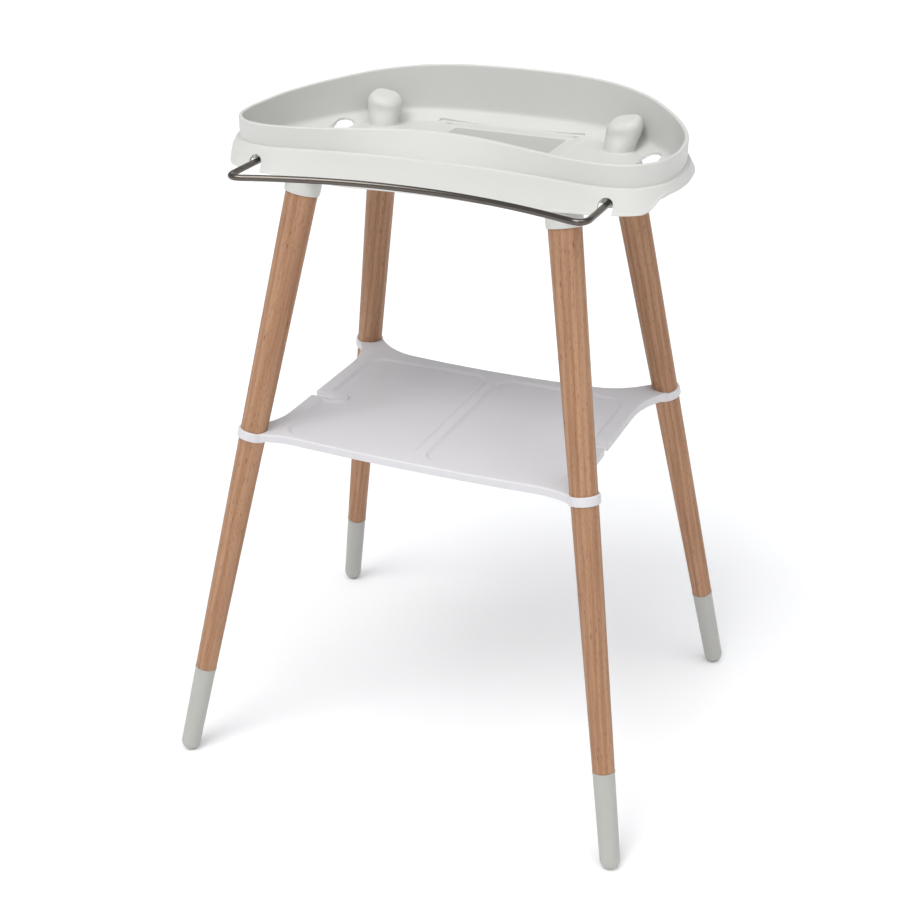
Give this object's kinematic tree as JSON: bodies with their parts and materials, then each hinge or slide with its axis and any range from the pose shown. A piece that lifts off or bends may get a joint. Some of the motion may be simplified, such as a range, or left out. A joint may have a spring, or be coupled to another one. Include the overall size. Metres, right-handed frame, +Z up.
{
  "type": "changing table",
  "caption": "Freestanding changing table: kidney-shaped white moulded tub with a towel rail on splayed round beech legs, with a moulded shelf between the legs and white foot caps.",
  "frame": {"origin": "on the floor, in the middle of the four feet", "axes": "+Z up, +X to the user's right when standing at the towel rail, +Y away from the user, so the towel rail and the waisted front are at -Y"},
  "size_m": [0.6636, 0.5512, 0.922],
  "materials": {
    "tub_plastic": "fine satin moulded polypropylene, warm white",
    "shelf_plastic": "fine matte moulded polypropylene, cool white",
    "beech": "clear matt lacquered beech",
    "cap_plastic": "satin moulded plastic, warm white",
    "rail_steel": "brushed stainless steel",
    "stud_steel": "zinc plated steel",
    "screw_steel": "zinc plated steel",
    "insert_brass": "turned brass"
  },
  "bodies": {
    "root": {"tub": "tub_plastic", "shelf": "shelf_plastic", "towel_rail": "rail_steel", "rail_screw_left": "screw_steel", "rail_screw_right": "screw_steel", "leg_front_left": "beech", "foot_cap_front_left": "cap_plastic", "leg_stud_front_left": "stud_steel", "socket_insert_front_left": "insert_brass", "leg_front_right": "beech", "foot_cap_front_right": "cap_plastic", "leg_stud_front_right": "stud_steel", "socket_insert_front_right": "insert_brass", "leg_rear_left": "beech", "foot_cap_rear_left": "cap_plastic", "leg_stud_rear_left": "stud_steel", "socket_insert_rear_left": "insert_brass", "leg_rear_right": "beech", "foot_cap_rear_right": "cap_plastic", "leg_stud_rear_right": "stud_steel", "socket_insert_rear_right": "insert_brass"}
  },
  "joints": []
}
